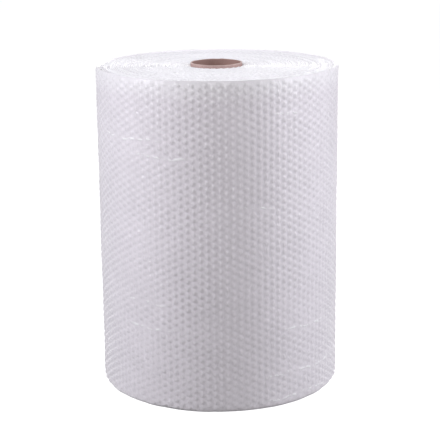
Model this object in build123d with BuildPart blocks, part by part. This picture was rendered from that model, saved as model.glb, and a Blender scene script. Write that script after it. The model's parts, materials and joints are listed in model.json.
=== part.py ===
"""A roll of small-bubble wrap standing on end, wound on a cardboard core."""

import os

from build123d import *

# Driving dimensions, in millimetres and degrees.
web_width = 500.0  # width of the film, and so the height of the standing roll
roll_diameter = 375.0  # over the outer turn's bubbles, its mean all the way round
turn_thickness = 3.0  # what one wound turn of film adds to the radius
loose_end_angle = 118.0  # where the film ends, counted from +X towards +Y
loose_end_round = 1.0  # soft edge of the loose end
cut_side_round = 1.2  # soft edge of the outer turn along the film's two cut sides
core_bore_diameter = 75.0
core_wall = 2.5
core_stand_out = 3.0  # how far the core rises past the film's top side
core_edge_break = 0.4  # worn edges of the core's two cut ends
winding_clearance = 0.1  # all round, between the core and the first turn

# Sizes that follow from them.
core_bore_radius = core_bore_diameter / 2
core_outer_radius = core_bore_radius + core_wall
core_length = web_width + core_stand_out
film_inner_radius = core_outer_radius + winding_clearance
loose_end_radius = (roll_diameter + turn_thickness) / 2
turn_below_radius = loose_end_radius - turn_thickness
growth_per_quarter = turn_thickness / 4

os.makedirs("parts", exist_ok=True)


# The core: a plain cardboard tube that stands on the same surface as the film.
with BuildPart() as core_tube:
    with BuildSketch(Plane.XY):
        Circle(core_outer_radius)
        Circle(core_bore_radius, mode=Mode.SUBTRACT)
    extrude(amount=core_length)
    chamfer(core_tube.edges().filter_by(GeomType.CIRCLE), core_edge_break)

core_tube.part.label = "core_tube"
export_step(core_tube.part, "parts/core_tube.step")


# The wound film. Its outline is the last turn of the winding, drawn as two half
# circles whose centres lie half a turn's growth apart: the radius grows by one
# turn's thickness all the way round and drops back in a step at the loose end.
with BuildPart() as bubble_film:
    with BuildSketch(Plane.XY.rotated((0, 0, loose_end_angle))):
        with BuildLine():
            first_half = CenterArc(
                center=(-growth_per_quarter, 0),
                radius=turn_below_radius + growth_per_quarter,
                start_angle=0,
                arc_size=180,
            )
            second_half = CenterArc(
                center=(growth_per_quarter, 0),
                radius=loose_end_radius - growth_per_quarter,
                start_angle=180,
                arc_size=180,
            )
            Line(second_half @ 1, first_half @ 0)
        make_face()
    extrude(amount=web_width)

    step_face = bubble_film.faces().filter_by(GeomType.PLANE).filter_by(Axis.Z, reverse=True)
    upright_edges = step_face.edges().filter_by(Axis.Z)
    loose_end_edge = upright_edges.sort_by_distance((0, 0, web_width / 2))[-1]
    fillet(loose_end_edge, loose_end_round)

    cut_sides = bubble_film.faces().filter_by(Axis.Z)
    fillet(cut_sides.edges(), cut_side_round)

    with BuildSketch(Plane.XY):
        Circle(film_inner_radius)
    extrude(amount=web_width, mode=Mode.SUBTRACT)

bubble_film.part.label = "bubble_film"
export_step(bubble_film.part, "parts/bubble_film.step")
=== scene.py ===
import json
import bpy
import numpy as np
from mathutils import Matrix, Vector


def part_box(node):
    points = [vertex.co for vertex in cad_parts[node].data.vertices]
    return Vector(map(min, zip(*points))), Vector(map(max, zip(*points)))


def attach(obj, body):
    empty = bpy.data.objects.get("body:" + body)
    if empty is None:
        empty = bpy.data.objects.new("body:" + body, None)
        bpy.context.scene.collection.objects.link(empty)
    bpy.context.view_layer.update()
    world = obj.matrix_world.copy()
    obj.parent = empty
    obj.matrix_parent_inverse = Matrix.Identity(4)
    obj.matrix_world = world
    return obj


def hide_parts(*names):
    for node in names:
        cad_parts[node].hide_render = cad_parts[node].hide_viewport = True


# A roll of small-bubble wrap standing on end around its cardboard core.
# Everything is in metres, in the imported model's own frame.
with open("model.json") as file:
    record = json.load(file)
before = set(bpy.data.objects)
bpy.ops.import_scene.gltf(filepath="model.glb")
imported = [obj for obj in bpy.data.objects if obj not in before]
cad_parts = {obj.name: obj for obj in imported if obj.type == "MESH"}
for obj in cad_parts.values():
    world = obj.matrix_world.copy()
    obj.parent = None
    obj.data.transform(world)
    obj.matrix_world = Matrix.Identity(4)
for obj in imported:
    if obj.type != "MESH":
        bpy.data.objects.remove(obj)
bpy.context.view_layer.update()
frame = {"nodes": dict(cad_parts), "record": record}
print("stage: frame loaded")

filmLow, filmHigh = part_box("bubble_film")
coreLow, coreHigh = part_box("core_tube")
boreMount = next(m for m in frame["record"]["mounts"] if m["name"] == "core_bore")
boreRadius = boreMount["dims"]["r_mm"] / 1000
coreRadius = coreHigh.x
fullTurn = 2 * np.pi


def findLooseEnd(node):
    # The film's outline is a spiral, so its furthest point from the axis is the loose end.
    points = np.empty(len(node.data.vertices) * 3, np.float32)
    node.data.vertices.foreach_get("co", points)
    x, y, z = points.reshape(-1, 3).T
    furthest = np.argmax(np.hypot(x, y))
    return np.hypot(x, y)[furthest], np.arctan2(y[furthest], x[furthest])


endRadius, looseAngle = findLooseEnd(frame["nodes"]["bubble_film"])


# Mesh tools. Every piece is worked out as whole arrays of points and faces.
def putMesh(name, points, faceGroups, material, node):
    # Each face group is an array with one face a row. The rows laid end to end are the loops.
    mesh = bpy.data.meshes.new(name)
    corners = np.concatenate([group.ravel() for group in faceGroups])
    sizes = np.concatenate([np.full(len(group), group.shape[1]) for group in faceGroups])
    starts = np.concatenate([[0], np.cumsum(sizes)[:-1]])
    mesh.vertices.add(len(points))
    mesh.vertices.foreach_set("co", points.astype(np.float32).ravel())
    mesh.loops.add(len(corners))
    mesh.loops.foreach_set("vertex_index", corners.astype(np.int32))
    mesh.polygons.add(len(sizes))
    mesh.polygons.foreach_set("loop_start", starts.astype(np.int32))
    mesh.polygons.foreach_set("use_smooth", np.ones(len(sizes), bool))
    mesh.update(calc_edges=True)
    mesh.validate()
    mesh.materials.append(material)
    piece = bpy.data.objects.new(name, mesh)
    bpy.context.scene.collection.objects.link(piece)
    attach(piece, "root")
    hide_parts(node)
    return piece


def putAttribute(piece, name, values):
    field = piece.data.attributes.new(name, "FLOAT", "POINT")
    field.data.foreach_set("value", values.astype(np.float32))


def putMap(piece, u, v, hidden=0):
    # A flat map of the piece's own surface, one place for each point. The last faces, which
    # nobody sees, have this many corners and are shrunk into the map's own corner.
    corners = np.empty(len(piece.data.loops), np.int32)
    piece.data.loops.foreach_get("vertex_index", corners)
    layer = piece.data.uv_layers.new(name="OFBake")
    places = np.stack([u, v], -1)[corners]
    if hidden:
        places[-hidden:] *= 0.13
    layer.uv.foreach_set("vector", places.astype(np.float32).ravel())


def ripple(a, b, seed, count, shortest, longest):
    # A smooth random field near -1 to 1: a sum of cosine waves of random heading, length and
    # phase, whose lengths are in metres of a and b.
    draw = np.random.default_rng(seed)
    heading = draw.uniform(0, fullTurn, count)
    number = fullTurn / draw.uniform(shortest, longest, count)
    phase = draw.uniform(0, fullTurn, count)
    total = np.zeros(np.broadcast(a, b).shape)
    for h, n, p in zip(heading, number, phase):
        total += np.cos(n * (np.cos(h) * a + np.sin(h) * b) + p)
    return total / np.sqrt(2 * count)


def smooth(x):
    x = np.clip(x, 0, 1)
    return x * x * (3 - 2 * x)


# The outer turn of film, with its bubbles outward.
outerFilm = {
    "turnThickness": 0.003,
    "rows": 45.5,  # bubbles along the roll's height
    "columnShare": 0.9275,  # column spacing as a share of the row spacing
    "bubbleRadius": 0.00465,
    "bubbleHeight": 0.0021,
    "shoulder": 0.62,  # where the crown turns down, as a share of the bubble's radius
    "shoulderRise": 0.84,
    "sheet": 0.0004,  # the film itself
    "overhang": 0.035,  # how far the loose end lies over the turn below it, in radians
    "splitAt": 3.86,  # the turn is made in two stretches that meet here, in radians
    "slack": 0.00045,  # height of the slow waves in the film
    "deepestDip": 0.0004,  # the film never dips further, or it would enter the turns inside
    "edgeCrinkle": 0.0009,
    "edgeReach": 0.014,
    "edgeLean": 0.0022,  # how far the cut sides lean in over the turns inside
    "edgeLeanFrom": 0.0068,
    "heightSpread": 0.16,
    "seed": 5,
}

# Creases run round the roll. Each has its height, the stretch it covers in degrees from the side
# that faces -Y, how far the film steps out below it, and how high its ridge is.
creases = [
    (0.447, 28, 40, 0.0000, 0.0005),
    (0.433, 230, 281, 0.0002, 0.0007),
    (0.410, -62, -28, 0.0002, 0.0008),
    (0.387, -43, -15, 0.0002, 0.0009),
    (0.339, 150, 222, 0.0003, 0.0009),
    (0.312, 12, 24, 0.0000, 0.0003),
    (0.236, 118, 171, 0.0002, 0.0008),
    (0.163, -46, -27, 0.0001, 0.0008),
    (0.125, -46, -16, 0.0002, 0.0012),
    (0.120, 34, 60, 0.0001, 0.0008),
    (0.088, 176, 240, 0.0003, 0.0009),
    (0.051, 20, 84, 0.0007, 0.0010),
    (0.013, 24, 60, 0.0003, 0.0006),
]


def outlineRadius(turn):
    # The spiral over the bubbles' crowns: it grows evenly with the angle from the loose end.
    return endRadius - outerFilm["turnThickness"] * (1 - turn / fullTurn)


def creaseShape(turn, height):
    # Across each line a bell-shaped ridge, and below it a soft step that dies away; both fade in
    # and out along the line. Also the distance above the nearest line, for the material.
    look = np.degrees(turn + looseAngle) + 90
    shape = np.broadcast(turn, height).shape
    lift, flatten = np.zeros(shape), np.zeros(shape)
    nearest, strength = np.full(shape, 0.02), np.zeros(shape)
    for at, start, stop, step, ridge in creases:
        half = (stop - start) / 2
        off = (look - (start + stop) / 2 + 180) % 360 - 180
        fade = smooth((half + 4 - np.abs(off)) / 8)
        line = at + 0.0018 * np.sin(np.radians(off) * 11 + at * 90)
        line = line + 0.0008 * np.sin(np.radians(off) * 37)
        over = height - line
        lift += fade * ridge * np.exp(-((over / 0.0028) ** 2))
        below = 1 / (1 + np.exp(np.clip(over / 0.002, -30, 30)))
        lift += fade * step * below * np.exp(-np.clip(-over, 0, 1) / 0.04)
        flatten += fade * np.exp(-((over / 0.0042) ** 2))
        closer = (np.abs(over) < np.abs(nearest)) & (fade > 0)
        nearest = np.where(closer, over, nearest)
        strength = np.where(closer, fade, strength)
    return lift, np.clip(flatten, 0, 1), nearest, strength


def filmLift(turn, height):
    # How far the film stands out from its even spiral: slow slack, creases, crinkled cut sides
    # and a loose end that lifts a little.
    around = turn * endRadius
    lift = outerFilm["slack"] * ripple(around * 0.45, height, 11, 14, 0.030, 0.120)
    lift += creaseShape(turn, height)[0]
    lean = 0
    for seed, edge in ((23, filmLow.z), (29, filmHigh.z)):
        near = np.exp(-np.abs(height - edge) / outerFilm["edgeReach"])
        crumpled = 1 + 0.9 * np.exp(-((((np.degrees(turn + looseAngle) + 135) % 360 - 180) / 30) ** 2))
        waves = ripple(around, height * 0.6, seed, 12, 0.016, 0.060)
        lift += near * crumpled * outerFilm["edgeCrinkle"] * waves
        lean = lean + outerFilm["edgeLean"] * smooth(1 - np.abs(height - edge) / outerFilm["edgeLeanFrom"])
    lift = np.maximum(lift, -outerFilm["deepestDip"]) - lean
    toEnd = np.clip((turn - fullTurn) / outerFilm["overhang"] + 1, 0, None)
    lift += 0.0005 * toEnd**2 * (0.5 + ripple(height, 0 * height, 41, 5, 0.06, 0.25))
    return lift


def outerTurn(name, fromColumn, toColumn, columns, material):
    # Columns of bubbles stand along the roll, each shifted by half a row from the one before, so
    # every bubble has a six-sided cell. A crown point, a shoulder ring and a foot ring of twelve
    # points each make the bubble, and the cell's corners and mid-sides join it to its neighbours.
    shape = outerFilm
    rows = int(shape["rows"])
    row = (filmHigh.z - filmLow.z) / shape["rows"]
    column = (fullTurn + shape["overhang"]) / columns
    width = column * endRadius
    far = (width**2 + row**2 / 4) / (2 * width**2) * column
    near = column - far
    count = toColumn - fromColumn
    index = np.arange(fromColumn, toColumn)
    odd = (index % 2)[:, None]
    middle = (index + 0.5) * column

    # Zigzag lines of cell corners between the columns, with a mid-side point between corners.
    line = np.arange(fromColumn, toColumn + 1)
    steps = int(2 * shape["rows"])
    corner = np.arange(steps + 1)
    even = (corner[None, :] + line[:, None]) % 2 == 0
    lineTurn = (line[:, None] + 0.5) * column - np.where(even, near, far)
    cut = (line == 0) | (line == columns)
    lineTurn[cut] = (line[cut] * column)[:, None]
    lines = np.empty((count + 1, 2 * steps + 1, 2))
    lines[:, ::2, 0] = lineTurn
    lines[:, ::2, 1] = filmLow.z + corner * row / 2
    lines[:, 1::2] = (lines[:, :-1:2] + lines[:, 2::2]) / 2

    # Points on each column's middle where two of its cells meet, and at the film's cut sides.
    level = np.arange(rows + 2)
    rung = np.where(odd == 0, np.minimum(2 * level, steps), np.maximum(2 * level - 1, 0))
    rungs = np.stack(np.broadcast_arrays(middle[:, None], filmLow.z + rung * row / 2), -1)

    # The bubbles differ a little in height, and creases press theirs down.
    lottery = np.random.default_rng(shape["seed"]).random((columns, rows, 3))[fromColumn:toColumn]
    centreHeight = filmLow.z + (2 * np.arange(rows) + 1 + odd) * row / 2
    centreTurn = middle[:, None] + 0.0003 / endRadius * (lottery[..., 0] - 0.5)
    rise = 1 - shape["heightSpread"] * lottery[..., 1]
    rise *= 1 - 0.6 * creaseShape(centreTurn, centreHeight)[1]
    rise *= 1 - 0.15 * np.clip(ripple(centreTurn * endRadius, centreHeight, 31, 9, 0.05, 0.16), 0, 1)
    radius = shape["bubbleRadius"] * (1 - 0.05 * lottery[..., 2])
    spoke = np.arange(12) * fullTurn / 12

    def ring(share):
        across = radius[..., None] * share
        turn = centreTurn[..., None] + across * np.cos(spoke) / endRadius
        return np.stack([turn, centreHeight[..., None] + across * np.sin(spoke)], -1)

    crowns = np.stack([centreTurn, centreHeight], -1)[:, :, None]
    domes = np.concatenate([crowns, ring(shape["shoulder"]), ring(1.0)], 2)
    profile = np.concatenate([[1.0], np.full(12, shape["shoulderRise"]), np.zeros(12)])
    domeRise = profile * rise[..., None]

    flat = np.concatenate([lines.reshape(-1, 2), rungs.reshape(-1, 2), domes.reshape(-1, 2)])
    crown = np.concatenate([np.zeros(lines[..., 0].size + rungs[..., 0].size), domeRise.ravel()])
    turn, height = flat.T
    reach = outlineRadius(turn) + filmLift(turn, height) + (crown - 1) * shape["bubbleHeight"]

    lineId = np.arange(lines[..., 0].size).reshape(count + 1, -1)
    rungId = lineId.size + np.arange(rungs[..., 0].size).reshape(count, -1)
    domeId = lineId.size + rungId.size + np.arange(domes[..., 0].size).reshape(count, rows, 25)

    # Each cell's rim, anticlockwise as seen from outside, from its right-hand corner.
    j = np.arange(count)[:, None]
    k = 2 * (2 * np.arange(rows) + 1 + odd)
    r = np.arange(rows) + odd
    rim = np.stack([
        lineId[j + 1, k], lineId[j + 1, k + 1], lineId[j + 1, k + 2], rungId[j, r + 1],
        lineId[j, k + 2], lineId[j, k + 1], lineId[j, k], lineId[j, k - 1],
        lineId[j, k - 2], rungId[j, r], lineId[j + 1, k - 2], lineId[j + 1, k - 1],
    ], -1).reshape(-1, 12)
    cells = domeId.reshape(-1, 25)
    top, shoulder, foot = cells[:, :1], cells[:, 1:13], cells[:, 13:]
    after = np.roll(np.arange(12), -1)
    caps = np.stack([np.broadcast_to(top, shoulder.shape), shoulder, shoulder[:, after]], -1)
    sides = np.stack([shoulder, foot, foot[:, after], shoulder[:, after]], -1)
    webs = np.stack([foot, rim, rim[:, after], foot[:, after]], -1)

    # The half cells at the cut sides have no bubble, because the cut went through it. Each is a fan.
    jj = np.arange(count)
    isEven = index % 2 == 0
    end = 2 * steps
    halfTop = np.stack([
        rungId[:, -1], lineId[jj, end], lineId[jj, end - 1], lineId[jj, end - 2],
        rungId[:, -2], lineId[jj + 1, end - 2], lineId[jj + 1, end - 1], lineId[jj + 1, end],
    ], -1)[isEven]
    halfLow = np.stack([
        rungId[:, 0], lineId[jj + 1, 0], lineId[jj + 1, 1], lineId[jj + 1, 2],
        rungId[:, 1], lineId[jj, 2], lineId[jj, 1], lineId[jj, 0],
    ], -1)[~isEven]
    fan = np.stack([np.zeros(6, int), np.arange(1, 7), np.arange(2, 8)], -1)
    halves = np.concatenate([halfTop[:, fan], halfLow[:, fan]]).reshape(-1, 3)

    # The film's back is the same border a sheet's thickness further in, spanned by upright strips.
    lowSide = np.empty(2 * count + 1, int)
    lowSide[::2], lowSide[1::2] = lineId[:, 0], rungId[:, 0]
    highSide = np.empty(2 * count + 1, int)
    highSide[::2], highSide[1::2] = lineId[:, -1], rungId[:, -1]
    loop = np.concatenate([lowSide, lineId[-1, 1:-1], highSide[::-1], lineId[0, 1:-1][::-1]])
    backId = np.full(len(flat), -1)
    backId[loop] = len(flat) + np.arange(len(loop))
    turn, height = np.concatenate([turn, turn[loop]]), np.concatenate([height, height[loop]])
    reach = np.concatenate([reach, reach[loop] - shape["sheet"]])
    points = np.stack([reach * np.cos(turn + looseAngle), reach * np.sin(turn + looseAngle), height], -1)
    border = np.stack([loop, backId[loop], np.roll(backId[loop], -1), np.roll(loop, -1)], -1)
    strips = np.stack([lowSide[:-1], highSide[:-1], highSide[1:], lowSide[1:]], -1)[1:-1]
    firstStrip = np.concatenate([lineId[0], highSide[1:2], lowSide[1:2]])[None]
    lastStrip = np.concatenate([lowSide[-2:-1], highSide[-2:-1], lineId[-1, ::-1]])[None]
    faces = [caps.reshape(-1, 3), halves, sides.reshape(-1, 4), webs.reshape(-1, 4),
             border, backId[strips], backId[firstStrip], backId[lastStrip]]
    piece = putMesh(name, points, faces, material, "bubble_film")

    nearest, strength = creaseShape(turn, height)[2:]
    putAttribute(piece, "crown", np.concatenate([crown, np.zeros(len(loop))]))
    putAttribute(piece, "around", turn * endRadius)
    putAttribute(piece, "creaseOver", nearest * 1000)
    putAttribute(piece, "creaseFade", strength)
    behind = np.arange(len(turn)) >= len(flat)
    span = (turn - turn.min()) / (turn.max() - turn.min())
    putMap(piece, span, np.where(behind, 0.98, 0.96) * height / filmHigh.z + 0.02 * behind)
    return piece


# The turns inside, whose cut sides show at the roll's two ends.
innerTurns = {
    "ringsPerTurn": 4,
    "valley": 0.0019,  # depth between two turns
    "scallop": 0.00045,  # sideways wander of a turn where its bubbles were cut
    "cutWave": 0.0004,  # how far a turn's edge dips between its bubbles
    "uneven": 0.0007,  # how much the turns differ in height
    "dish": 0.0012,  # how far the innermost turns sit below the outer ones
    "shoulder": 0.0040,  # how far the outermost turns sit below the rest
    "shoulderReach": 0.0065,
    "gapBehindFilm": 0.0005,
    "seed": 17,
}


def turnStack(name, up, stepsAround, material):
    # A spiral surface from the core to the outer turn. Ring i at step s lies i / ringsPerTurn + s
    # / steps turns out, so that the last step of a ring runs on into the ring one turn further
    # out. Each turn is a rounded ridge with a valley beside it.
    shape = innerTurns
    per = shape["ringsPerTurn"]
    inner = coreRadius + 0.0001
    cutSide = filmHigh.z if up else filmLow.z
    halfway = (filmLow.z + filmHigh.z) / 2
    outer = outlineRadius(0) - outerFilm["bubbleHeight"] - outerFilm["sheet"] - shape["gapBehindFilm"]
    turns = round((outer - inner) / outerFilm["turnThickness"])
    thick = (outer - inner) / turns
    rings = turns * per

    ring, step = np.meshgrid(np.arange(rings + 1), np.arange(stepsAround), indexing="ij")
    lastRing = np.arange(rings - per + 1, rings + 1)
    ring = np.concatenate([ring.ravel(), lastRing])
    step = np.concatenate([step.ravel(), np.full(per, stepsAround)])
    turn = step / stepsAround * fullTurn
    out = ring / per + step / stepsAround
    reach = inner + thick * out
    along = np.pi * (reach**2 - inner**2) / thick  # the film's own length, from the core out
    bubble = (filmHigh.z - filmLow.z) / outerFilm["rows"] * outerFilm["columnShare"]
    body = (ring > 0) & (ring < rings)
    wander = ripple(along, out * 0.01, shape["seed"], 10, 0.02, 0.30)
    ridge = 0.5 - 0.5 * np.cos(fullTurn * ring / per)
    reach = reach + body * shape["scallop"] * (0.6 * np.cos(fullTurn * along / bubble) + 0.7 * wander)
    depth = shape["valley"] * (1 - ridge) * (0.75 + 0.25 * wander)
    depth += shape["uneven"] * (0.9 + ripple(along, out * 0, shape["seed"] + 1, 14, 0.15, 1.6))
    depth += shape["cutWave"] * ridge * (1 + np.cos(fullTurn * along / bubble + 1.3))
    depth += shape["dish"] * np.exp(-(reach - inner) / 0.022)
    toOutside = np.maximum(outer + thick * step / stepsAround - reach, 0)
    depth += shape["shoulder"] * np.exp(-toOutside / shape["shoulderReach"])
    depth = np.maximum(depth, 0.00005)
    height = cutSide - depth if up else cutSide + depth * 0.8

    def grid(r, s):
        # The point at ring r and step s, which past the last step is the ring one turn out.
        r, s = np.broadcast_arrays(r, s)
        over = s == stepsAround
        spare = (rings + 1) * stepsAround + r - (rings - per + 1)
        return np.where(over & (r + per > rings), spare, (r + per * over) * stepsAround + s % stepsAround)

    r, s = np.meshgrid(np.arange(rings), np.arange(stepsAround), indexing="ij")
    surface = np.stack([grid(r, s), grid(r + 1, s), grid(r + 1, s + 1), grid(r, s + 1)], -1).reshape(-1, 4)

    # The bore side is a round wall, and a wedge closes the first turn's start against it.
    around = np.arange(1, stepsAround)
    first = len(reach)
    boreTop = np.concatenate([[0], first + around - 1])
    angle = around / stepsAround * fullTurn
    reach = np.concatenate([reach, np.full(stepsAround - 1, inner)])
    turn = np.concatenate([turn, angle])
    height = np.concatenate([height, height[around]])
    wedge = np.stack([boreTop[1:-1], grid(0, around[:-1]), grid(0, around[1:]), boreTop[2:]], -1)
    startWedge = np.array([[0, grid(0, 1), boreTop[1]]])
    tail = grid(np.arange(per, -1, -1), 0)
    endWedge = np.concatenate([boreTop[-1:], [grid(0, stepsAround - 1)], tail])[None]

    # Both walls run down to halfway, where a flat ring closes the piece.
    endStep = grid(np.arange(rings - 1, rings - per, -1), stepsAround)
    outside = np.concatenate([grid(rings, np.arange(stepsAround + 1)), endStep])
    lower = []
    for loop in (outside, boreTop):
        lower.append(len(reach) + np.arange(len(loop)))
        reach, turn = np.concatenate([reach, reach[loop]]), np.concatenate([turn, turn[loop]])
        height = np.concatenate([height, np.full(len(loop), halfway)])
    walls = np.stack([outside, lower[0], np.roll(lower[0], -1), np.roll(outside, -1)], -1)
    boreShade = np.stack([boreTop, np.roll(boreTop, -1), np.roll(lower[1], -1), lower[1]], -1)
    ringOut, ringIn = lower[0][:stepsAround + 1], lower[1]
    floor = np.stack([ringOut[:-2], ringIn[:-1], ringIn[1:], ringOut[1:-1]], -1)
    closing = np.concatenate([
        ringOut[-2:-1], ringIn[-1:], ringIn[:1], ringOut[:1], lower[0][stepsAround + 1:][::-1], ringOut[-1:],
    ])[None]
    faces = [surface, wedge, startWedge, endWedge, walls, boreShade, floor, closing]
    if not up:
        faces = [group[:, ::-1] for group in faces]
    points = np.stack([reach * np.cos(turn + looseAngle), reach * np.sin(turn + looseAngle), height], -1)
    piece = putMesh(name, points, faces, material, "bubble_film")
    unseen = len(reach) - len(ridge)
    putAttribute(piece, "alongFilm", np.pi * (reach**2 - inner**2) / thick)
    putAttribute(piece, "valley", np.concatenate([1 - ridge, np.full(unseen, 0.6)]))
    putAttribute(piece, "depth", np.abs(height - cutSide) * 1000)
    atFloor = np.abs(height - halfway) < 1e-6
    shown = 0.40 * reach / endRadius + atFloor * np.where(reach > 2 * coreRadius, 0.06, -0.03)
    putMap(piece, 0.5 + shown * np.cos(turn), 0.5 + shown * np.sin(turn), floor.size + closing.size)
    return piece


# The cardboard core, which stands a little out of the film.
core = {
    "rimRound": 0.0004,
    "rimWave": 0.00025,
    "outOfRound": 0.0002,
    "burrAt": 77,  # degrees, where a torn fibre stands on the rim
    "burrHeight": 0.0009,
    "burrWidth": 0.0022,
    "seed": 3,
}


def coreTube(name, steps, material):
    # A closed profile of the board's wall carried round the axis: up the outside, over the rounded
    # rim, down the bore and round the foot. Slow waves of the angle move the rim and the wall.
    shape = core
    low, high, edge = coreLow.z, coreHigh.z, shape["rimRound"]
    quarter = np.linspace(0, np.pi / 2, 5)
    upOut = np.concatenate([[0.004, 0.03], np.linspace(0.06, 0.44, 6), [0.47, 0.49, 0.4985, 0.5008]])
    radius = np.concatenate([
        np.full(len(upOut), coreRadius),
        coreRadius - edge + edge * np.cos(quarter),
        boreRadius + edge - edge * np.sin(quarter),
        np.full(len(upOut), boreRadius),
        boreRadius + edge - edge * np.cos(quarter),
        coreRadius - edge + edge * np.sin(quarter),
    ])
    height = np.concatenate([
        upOut, high - edge + edge * np.sin(quarter), high - edge + edge * np.cos(quarter),
        upOut[::-1], low + edge - edge * np.sin(quarter), low + edge - edge * np.cos(quarter),
    ])
    length = np.cumsum(np.hypot(np.diff(radius, append=radius[0]), np.diff(height, append=height[0])))
    angle = np.arange(steps) / steps * fullTurn
    r, a = np.broadcast_arrays(radius, angle[:, None])
    z = np.broadcast_to(height, r.shape)
    near = np.exp(-((high - z) / 0.012))
    wave = ripple(np.cos(a) * 0.05, np.sin(a) * 0.05, shape["seed"], 9, 0.012, 0.09)
    z = z - near * shape["rimWave"] * (1 + wave) * (z > 0.4)
    r = r - (r > coreRadius - 0.0008) * shape["outOfRound"] * (0.5 + 0.5 * np.cos(2 * a + 0.6)) * near
    away = (np.degrees(a) - shape["burrAt"] + 180) % 360 - 180
    burr = np.exp(-((np.radians(away) * coreRadius / shape["burrWidth"]) ** 2)) * (z > high - 0.0012)
    z = np.minimum(z + burr * shape["burrHeight"], high)
    points = np.stack([r * np.cos(a), r * np.sin(a), z], -1).reshape(-1, 3)
    count = len(radius)
    s, p = np.meshgrid(np.arange(steps), np.arange(count), indexing="ij")
    nextStep, nextPoint = (s + 1) % steps, (p + 1) % count
    quads = np.stack([
        s * count + p, nextStep * count + p, nextStep * count + nextPoint, s * count + nextPoint,
    ], -1).reshape(-1, 4)
    piece = putMesh(name, points, [quads], material, "core_tube")
    share = np.broadcast_to(np.concatenate([[0], length[:-1]]) / length[-1], r.shape)
    putMap(piece, (a / fullTurn).ravel(), share.ravel())
    return piece


# Shader tools.
def addNode(tree, kind, inputs=(), **settings):
    node = tree.nodes.new("ShaderNode" + kind)
    for key, value in settings.items():
        setattr(node, key, value)
    for key, value in dict(inputs).items():
        if isinstance(value, bpy.types.NodeSocket):
            tree.links.new(value, node.inputs[key])
        else:
            node.inputs[key].default_value = value
    return node


def calc(tree, operation, *values):
    node = tree.nodes.new("ShaderNodeMath")
    node.operation = operation
    for socket, value in zip(node.inputs, values):
        if isinstance(value, bpy.types.NodeSocket):
            tree.links.new(value, socket)
        else:
            socket.default_value = value
    return node.outputs[0]


def fit(tree, value, low, high, toLow=0.0, toHigh=1.0):
    # The value eased from one range into another.
    node = addNode(tree, "MapRange", {
        "Value": value, "From Min": low, "From Max": high, "To Min": toLow, "To Max": toHigh,
    }, interpolation_type="SMOOTHSTEP")
    return node.outputs["Result"]


def blendColour(tree, share, first, second, how="MIX"):
    node = addNode(tree, "Mix", data_type="RGBA", blend_type=how)
    for key, value in (("Factor_Float", share), ("A_Color", first), ("B_Color", second)):
        socket = next(s for s in node.inputs if s.identifier == key)
        if isinstance(value, bpy.types.NodeSocket):
            tree.links.new(value, socket)
        else:
            socket.default_value = value
    return next(s for s in node.outputs if s.identifier == "Result_Color")


def attribute(tree, name):
    return addNode(tree, "Attribute", attribute_name=name).outputs["Fac"]


def newGroup(name, inputs, outputs):
    group = bpy.data.node_groups.new(name, "ShaderNodeTree")
    for label, kind, value in inputs:
        socket = group.interface.new_socket(label, in_out="INPUT", socket_type="NodeSocket" + kind)
        if value is not None:
            socket.default_value = value
    for label, kind in outputs:
        group.interface.new_socket(label, in_out="OUTPUT", socket_type="NodeSocket" + kind)
    start = group.nodes.new("NodeGroupInput")
    end = group.nodes.new("NodeGroupOutput")
    return group, start.outputs, end.inputs


def useGroup(tree, group, inputs):
    node = tree.nodes.new("ShaderNodeGroup")
    node.node_tree = group
    for key, value in inputs.items():
        if isinstance(value, bpy.types.NodeSocket):
            tree.links.new(value, node.inputs[key])
        else:
            node.inputs[key].default_value = value
    return node.outputs


def newMaterial(name):
    material = bpy.data.materials.new(name)
    material.use_nodes = True
    tree = material.node_tree
    surface = next(n for n in tree.nodes if n.type == "BSDF_PRINCIPLED")
    place = addNode(tree, "TexCoord").outputs["Object"]
    return material, tree, surface, place


def tint(colour):
    return (*colour, 1.0)


plainWhite = tint((1.0, 1.0, 1.0))


# Soft mottling: two sizes of cloud, from -1 to 1.
mottle, given, result = newGroup(
    "softMottle", [("Place", "Vector", None), ("Scale", "Float", 12.0)], [("Value", "Float")])
broad = addNode(mottle, "TexNoise", {"Vector": given["Place"], "Scale": given["Scale"], "Detail": 2.0})
fineScale = calc(mottle, "MULTIPLY", given["Scale"], 4.3)
fine = addNode(mottle, "TexNoise", {"Vector": given["Place"], "Scale": fineScale, "Detail": 3.0})
both = calc(mottle, "MULTIPLY_ADD", fine.outputs["Fac"], 0.6, broad.outputs["Fac"])
mottle.links.new(fit(mottle, both, 0.45, 1.15, -1.0, 1.0), result["Value"])

# Fine crinkles of thin film: the creased ridges of a stretched noise, from 0 to 1.
crinkle, given, result = newGroup(
    "filmCrinkle", [("Place", "Vector", None), ("Stretch", "Vector", (1, 1, 1)), ("Scale", "Float", 60.0)],
    [("Height", "Float")])
pulled = addNode(crinkle, "VectorMath", {0: given["Place"], 1: given["Stretch"]}, operation="MULTIPLY")
folds = addNode(crinkle, "TexNoise", {
    "Vector": pulled.outputs[0], "Scale": given["Scale"], "Detail": 3.0, "Distortion": 0.6})
centred = calc(crinkle, "SUBTRACT", folds.outputs["Fac"], 0.5)
ridged = calc(crinkle, "ABSOLUTE", centred)
crinkle.links.new(calc(crinkle, "MULTIPLY_ADD", ridged, -5.0, 1.0), result["Height"])
print("stage: shader groups made")

filmFinish = {
    # web and crown tones: crowns are painted darker, painted shade for tops that face away from the side
    # lamps, and the web lighter, painted light that offsets the shade between the bubbles
    "paintedLightWeb": (0.795, 0.757, 0.803),
    "crown": (0.768, 0.730, 0.775),
    # near white of the painted crease highlights and of the painted glow below the top cut side
    "paintedLightWhite": (0.95, 0.94, 0.96),
    "mottleShare": 0.030,
    "bubbleShare": 0.024,  # how much single bubbles differ in tone
    "behindShare": 0.022,  # how strongly the bubbles of the turn below show through
    "softness": 0.91,  # how far light spreads in the film, which evens out the bubbles' shading
    "roughness": 0.34,
    "coatRoughness": 0.085,
}


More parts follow.
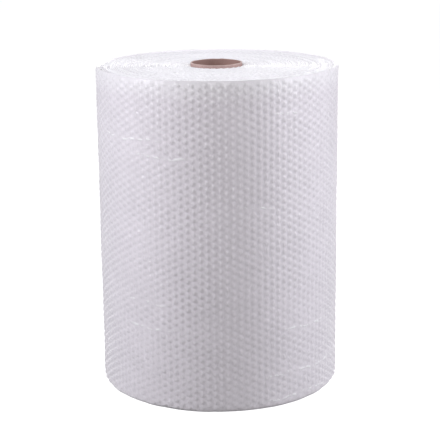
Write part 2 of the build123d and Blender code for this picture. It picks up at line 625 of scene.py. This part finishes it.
def makeBubbleSkin():
    finish = filmFinish
    material, tree, surface, place = newMaterial("bubbleSkin")
    axes = addNode(tree, "SeparateXYZ", {"Vector": place}).outputs
    crown, around = attribute(tree, "crown"), attribute(tree, "around")
    row = (filmHigh.z - filmLow.z) / outerFilm["rows"]
    column = row * outerFilm["columnShare"]
    clouds = useGroup(tree, mottle, {"Place": place, "Scale": 14.0})["Value"]

    # The turn below shows through as a second, drifting pattern of the same bubbles.
    drift = addNode(tree, "TexNoise", {"Vector": place, "Scale": 3.1, "Detail": 1.0}).outputs["Fac"]
    across = calc(tree, "MULTIPLY_ADD", drift, 0.05, around)
    up = calc(tree, "MULTIPLY_ADD", drift, 0.03, axes["Z"])
    halfWave = calc(tree, "COSINE", calc(tree, "MULTIPLY", across, np.pi / column))
    rowWave = calc(tree, "COSINE", calc(tree, "MULTIPLY", up, fullTurn / row))
    columnWave = calc(tree, "COSINE", calc(tree, "MULTIPLY", across, fullTurn / column))
    lattice = calc(tree, "MULTIPLY_ADD", calc(tree, "MULTIPLY", halfWave, rowWave), 2.0, columnWave)
    behind = fit(tree, lattice, -0.6, 1.6, -1.0, 1.0)

    # Painted shade and light: crowns take the darker colour, the web between the bubbles the lighter one.
    colour = blendColour(tree, crown, tint(finish["paintedLightWeb"]), tint(finish["crown"]))
    shade = calc(tree, "MULTIPLY_ADD", clouds, finish["mottleShare"], 1.0)
    shade = calc(tree, "MULTIPLY_ADD", behind, -finish["behindShare"], shade)
    single = useGroup(tree, mottle, {"Place": place, "Scale": 75.0})["Value"]
    shade = calc(tree, "MULTIPLY_ADD", single, finish["bubbleShare"], shade)
    grey = addNode(tree, "CombineColor", {"Red": shade, "Green": shade, "Blue": shade}).outputs[0]
    colour = blendColour(tree, 1.0, colour, grey, "MULTIPLY")

    # Painted highlights: creases are painted near white in thin broken lines, standing in for the glints
    # along them, and the last stretch of film below the top cut side is painted whiter as a painted glow of
    # the top light through the film.
    over = calc(tree, "ABSOLUTE", attribute(tree, "creaseOver"))
    crease = calc(tree, "MULTIPLY", fit(tree, over, 0.3, 2.4, 1.0, 0.0), attribute(tree, "creaseFade"))
    breaks = addNode(tree, "TexNoise", {"Vector": place, "Scale": 105.0, "Detail": 2.0}).outputs["Fac"]
    crease = calc(tree, "MULTIPLY", crease, fit(tree, breaks, 0.44, 0.60))
    ragged = calc(tree, "MULTIPLY_ADD", breaks, 0.016, axes["Z"])
    paintedTopGlow = fit(tree, ragged, filmHigh.z - 0.030, filmHigh.z + 0.004, 0.0, 1.0)
    # white is how much the painted highlight and the painted top glow whiten the film here
    white = calc(tree, "MAXIMUM", crease, calc(tree, "MULTIPLY", paintedTopGlow, 0.55))
    colour = blendColour(tree, white, colour, tint(finish["paintedLightWhite"]))
    tree.links.new(colour, surface.inputs["Base Color"])

    # Light spreads inside the film, so its shading follows a rounder shape than its bubbles.
    geometry = addNode(tree, "NewGeometry").outputs["Normal"]
    outward = addNode(tree, "CombineXYZ", {"X": axes["X"], "Y": axes["Y"]}).outputs[0]
    outward = addNode(tree, "VectorMath", {0: outward}, operation="NORMALIZE").outputs[0]
    facing = addNode(tree, "VectorMath", {0: outward, 1: geometry}, operation="DOT_PRODUCT").outputs["Value"]
    soft = fit(tree, facing, 0.2, 0.6, 0.0, finish["softness"])
    evened = addNode(tree, "Mix", data_type="VECTOR")
    for key, value in (("Factor_Float", soft), ("A_Vector", geometry), ("B_Vector", outward)):
        tree.links.new(value, next(s for s in evened.inputs if s.identifier == key))
    evenedOut = next(s for s in evened.outputs if s.identifier == "Result_Vector")
    folds = useGroup(tree, crinkle, {"Place": place, "Stretch": (1.0, 1.0, 0.45), "Scale": 95.0})["Height"]
    height = calc(tree, "MULTIPLY_ADD", crease, 2.5, folds)
    bump = addNode(tree, "Bump", {
        "Height": height, "Normal": evenedOut, "Strength": 0.25, "Distance": 0.0004})
    tree.links.new(bump.outputs["Normal"], surface.inputs["Normal"])
    rough = calc(tree, "MULTIPLY_ADD", clouds, 0.05, finish["roughness"])
    tree.links.new(rough, surface.inputs["Roughness"])
    coatShare = calc(tree, "MULTIPLY_ADD", crown, 0.25, 0.45)
    tree.links.new(coatShare, surface.inputs["Coat Weight"])
    surface.inputs["Coat Roughness"].default_value = finish["coatRoughness"]
    surface.inputs["IOR"].default_value = 1.45
    return material


edgeFinish = {
    "ridge": (0.90, 0.895, 0.915),
    # painted shade for the valleys between the turns
    "valley": (0.70, 0.68, 0.72),
    "roughness": 0.42,
}


def makeFilmEdges():
    finish = edgeFinish
    material, tree, surface, place = newMaterial("filmEdges")
    along, valley = attribute(tree, "alongFilm"), attribute(tree, "valley")
    clouds = useGroup(tree, mottle, {"Place": place, "Scale": 22.0})["Value"]
    line = addNode(tree, "CombineXYZ", {"X": along}).outputs[0]
    grain = addNode(tree, "TexNoise", {"Vector": line, "Scale": 180.0, "Detail": 3.0}).outputs["Fac"]
    # Painted shade darkens the valleys between the turns, with grain that varies the tone along the film.
    valleyShadeAndGrain = fit(tree, valley, 0.35, 1.0, 0.0, 1.0)
    valleyShadeAndGrain = calc(tree, "MULTIPLY_ADD", calc(tree, "SUBTRACT", grain, 0.5), 0.35, valleyShadeAndGrain)
    colour = blendColour(tree, valleyShadeAndGrain, tint(finish["ridge"]), tint(finish["valley"]))
    shade = calc(tree, "MULTIPLY_ADD", clouds, 0.025, 1.0)
    grey = addNode(tree, "CombineColor", {"Red": shade, "Green": shade, "Blue": shade}).outputs[0]
    tree.links.new(blendColour(tree, 1.0, colour, grey, "MULTIPLY"), surface.inputs["Base Color"])
    folds = useGroup(tree, crinkle, {"Place": place, "Stretch": (1.0, 1.0, 1.0), "Scale": 240.0})["Height"]
    height = calc(tree, "MULTIPLY_ADD", grain, 1.5, folds)
    bump = addNode(tree, "Bump", {"Height": height, "Strength": 0.35, "Distance": 0.0003})
    tree.links.new(bump.outputs["Normal"], surface.inputs["Normal"])
    rough = calc(tree, "MULTIPLY_ADD", clouds, 0.06, finish["roughness"])
    tree.links.new(rough, surface.inputs["Roughness"])
    surface.inputs["IOR"].default_value = 1.45
    return material


boardFinish = {
    "board": (0.47, 0.335, 0.310),
    "pale": (0.62, 0.49, 0.455),
    "dark": (0.22, 0.125, 0.105),
    # painted shade inside the bore
    "boreShade": (0.26, 0.150, 0.125),
    "plyThickness": 0.0005,
    "stripWidth": 0.10,  # width of the paper strips that are wound into the tube
}


def makeCoreBoard():
    finish = boardFinish
    material, tree, surface, place = newMaterial("coreBoard")
    axes = addNode(tree, "SeparateXYZ", {"Vector": place}).outputs
    clouds = useGroup(tree, mottle, {"Place": place, "Scale": 30.0})["Value"]
    fibreRoom = addNode(tree, "VectorMath", {0: place, 1: (1.0, 1.0, 4.0)}, operation="MULTIPLY").outputs[0]
    fibres = addNode(tree, "TexNoise", {"Vector": fibreRoom, "Scale": 420.0, "Detail": 4.0}).outputs["Fac"]
    specks = addNode(tree, "TexNoise", {"Vector": fibreRoom, "Scale": 900.0, "Detail": 2.0}).outputs["Fac"]

    # The plies show on the rim as thin rings, and the strips' seams climb the tube as a helix.
    radius = addNode(tree, "CombineXYZ", {"X": axes["X"], "Y": axes["Y"]}).outputs[0]
    radius = addNode(tree, "VectorMath", {0: radius}, operation="LENGTH").outputs["Value"]
    ply = calc(tree, "SINE", calc(tree, "MULTIPLY", radius, fullTurn / finish["plyThickness"]))
    onRim = fit(tree, axes["Z"], coreHigh.z - 0.0012, coreHigh.z - 0.0003)
    angle = calc(tree, "ARCTAN2", axes["Y"], axes["X"])
    climb = calc(tree, "MULTIPLY", axes["Z"], 1 / finish["stripWidth"])
    helix = calc(tree, "FRACT", calc(tree, "MULTIPLY_ADD", angle, 1 / fullTurn, climb))
    seam = calc(tree, "SUBTRACT", fit(tree, helix, 0.0, 0.012), fit(tree, helix, 0.02, 0.032))

    colour = blendColour(tree, fit(tree, fibres, 0.35, 0.65), tint(finish["dark"]), tint(finish["board"]))
    colour = blendColour(tree, 0.55, colour, tint(finish["board"]))
    paleShare = calc(tree, "MULTIPLY", fit(tree, specks, 0.55, 0.7), 0.35)
    colour = blendColour(tree, paleShare, colour, tint(finish["pale"]))
    darken = calc(tree, "MULTIPLY", seam, 0.45)
    plyLine = calc(tree, "MULTIPLY_ADD", ply, 0.5, 0.5)
    plyShade = calc(tree, "MULTIPLY", plyLine, calc(tree, "MULTIPLY", onRim, 0.35))
    darken = calc(tree, "MAXIMUM", darken, plyShade)
    colour = blendColour(tree, darken, colour, tint(finish["dark"]))
    # Painted shade: the bore wall is painted darker, standing in for the shade inside the tube.
    paintedBoreShade = fit(tree, radius, boreRadius + 0.0002, boreRadius + 0.0008, 0.75, 0.0)
    colour = blendColour(tree, paintedBoreShade, colour, tint(finish["boreShade"]))
    colour = blendColour(tree, calc(tree, "MULTIPLY", onRim, 0.55), colour, tint(finish["pale"]))
    shade = calc(tree, "MULTIPLY_ADD", clouds, 0.06, 1.0)
    grey = addNode(tree, "CombineColor", {"Red": shade, "Green": shade, "Blue": shade}).outputs[0]
    tree.links.new(blendColour(tree, 1.0, colour, grey, "MULTIPLY"), surface.inputs["Base Color"])
    height = calc(tree, "MULTIPLY_ADD", seam, -1.2, fibres)
    height = calc(tree, "MULTIPLY_ADD", calc(tree, "MULTIPLY", ply, onRim), 0.35, height)
    bump = addNode(tree, "Bump", {"Height": height, "Strength": 0.5, "Distance": 0.0003})
    tree.links.new(bump.outputs["Normal"], surface.inputs["Normal"])
    rough = calc(tree, "MULTIPLY_ADD", fibres, 0.15, 0.76)
    tree.links.new(rough, surface.inputs["Roughness"])
    return material


bubbleSkin = makeBubbleSkin()
filmEdges = makeFilmEdges()
coreBoard = makeCoreBoard()
print("stage: materials made")

columnWidth = outerFilm["columnShare"] * (filmHigh.z - filmLow.z) / outerFilm["rows"]
columns = round((fullTurn + outerFilm["overhang"]) * endRadius / columnWidth)
splitColumn = round(outerFilm["splitAt"] / (fullTurn + outerFilm["overhang"]) * columns)
outerTurn("outer_turn_front", 0, splitColumn, columns, bubbleSkin)
outerTurn("outer_turn_back", splitColumn, columns, columns, bubbleSkin)
print("stage: outer turn made,", columns, "columns of bubbles")
turnStack("wound_turns_top", True, 480, filmEdges)
turnStack("wound_turns_bottom", False, 240, filmEdges)
print("stage: wound turns made")
coreTube("core", 288, coreBoard)
print("stage: core made")

# Floor, world, lamps and camera.
studio = {
    "floorHalf": 30.0,
    "floorPaint": 0.30,
    "floorGlow": 0.97,  # what the camera adds to the floor's own colour, so that it shows as white
    "floorBounce": 0.10,
    "ambient": 0.12,
}


def seenRays(tree):
    # 1 for the rays that show a thing to the camera, also by reflection or through glass.
    path = addNode(tree, "LightPath").outputs
    seen = calc(tree, "MAXIMUM", path["Is Camera Ray"], path["Is Glossy Ray"])
    return calc(tree, "MAXIMUM", seen, path["Is Transmission Ray"])


def makeFloor():
    half = studio["floorHalf"]
    mesh = bpy.data.meshes.new("floor")
    corners = [(-half, -half, 0), (half, -half, 0), (half, half, 0), (-half, half, 0)]
    mesh.from_pydata(corners, [], [(0, 1, 2, 3)])
    floor = bpy.data.objects.new("floor", mesh)
    bpy.context.scene.collection.objects.link(floor)
    material = bpy.data.materials.new("paleFloor")
    material.use_nodes = True
    tree = material.node_tree
    tree.nodes.clear()
    paint = addNode(tree, "BsdfDiffuse", {"Color": tint((studio["floorPaint"],) * 3)}).outputs[0]
    glow = addNode(tree, "Emission", {"Color": plainWhite, "Strength": studio["floorGlow"]}).outputs[0]
    shown = addNode(tree, "AddShader", {0: paint, 1: glow}).outputs[0]
    bounce = addNode(tree, "BsdfDiffuse", {"Color": tint((studio["floorBounce"],) * 3)}).outputs[0]
    mixed = addNode(tree, "MixShader", {0: seenRays(tree), 1: bounce, 2: shown}).outputs[0]
    addNode(tree, "OutputMaterial", {"Surface": mixed})
    mesh.materials.append(material)


def makeWorld():
    world = bpy.data.worlds.new("studioWorld")
    bpy.context.scene.world = world
    world.use_nodes = True
    tree = world.node_tree
    tree.nodes.clear()
    ambient = addNode(tree, "Background", {"Color": plainWhite, "Strength": studio["ambient"]}).outputs[0]
    white = addNode(tree, "Background", {"Color": plainWhite, "Strength": 1.0}).outputs[0]
    mixed = addNode(tree, "MixShader", {0: seenRays(tree), 1: ambient, 2: white}).outputs[0]
    addNode(tree, "OutputWorld", {"Surface": mixed})


# Each softbox has its place, the point it faces, its width and height, its power in watts and colour.
softboxes = {
    "leftSoftbox": ((-1.70, -0.60, 1.35), (0.0, 0.0, 0.3), (0.9, 1.3), 31.4, (0.97, 0.97, 1.03)),
    "rightSoftbox": ((1.79, -0.10, 1.35), (0.0, 0.0, 0.3), (0.9, 1.3), 21.5, (0.97, 0.97, 1.03)),
    "rightLowSoftbox": ((1.81, -0.85, 0.70), (0.0, 0.0, 0.3), (0.9, 1.0), 9.6, (0.97, 0.97, 1.03)),
    "frontSoftbox": ((0.0, -1.80, 1.55), (0.0, 0.0, 0.3), (0.9, 0.9), 13.9, (1.0, 0.98, 0.98)),
    "backSoftbox": ((0.3, 1.90, 1.00), (0.0, 0.0, 0.3), (1.2, 1.2), 12.0, (1.0, 0.98, 1.0)),
    "leftSpark": ((-1.30, -1.90, 1.25), (0.0, 0.0, 0.3), (0.10, 0.10), 1.2, (1.0, 1.0, 1.0)),
    "rightSpark": ((1.75, -1.20, 1.05), (0.0, 0.0, 0.3), (0.10, 0.10), 0.9, (1.0, 1.0, 1.0)),
}


def makeSoftbox(name, place, target, size, power, colour):
    lamp = bpy.data.lights.new(name, "AREA")
    lamp.shape = "RECTANGLE"
    lamp.size, lamp.size_y = size
    lamp.energy = power
    lamp.color = colour
    box = bpy.data.objects.new(name, lamp)
    bpy.context.scene.collection.objects.link(box)
    box.location = place
    box.rotation_euler = (Vector(target) - Vector(place)).to_track_quat("-Z", "Y").to_euler()
    box.visible_camera = False


makeFloor()
makeWorld()
for name, box in softboxes.items():
    makeSoftbox(name, *box)
print("stage: floor, world and lamps made")

cameraView = {
    "place": (0.0, -2.0964, 0.7826),
    "lens": 111.42,
    "downTilt": 14.225,  # degrees below the horizon
    "rightTurn": 0.083,
    "lean": -0.619,
}
camera = bpy.data.objects.new("camera", bpy.data.cameras.new("camera"))
bpy.context.scene.collection.objects.link(camera)
camera.data.lens = cameraView["lens"]
camera.matrix_world = (
    Matrix.Translation(cameraView["place"])
    @ Matrix.Rotation(np.radians(-cameraView["rightTurn"]), 4, "Z")
    @ Matrix.Rotation(np.radians(90 - cameraView["downTilt"]), 4, "X")
    @ Matrix.Rotation(np.radians(cameraView["lean"]), 4, "Z")
)
bpy.context.scene.camera = camera
bpy.context.scene.view_settings.view_transform = "Standard"
print("stage: camera made")
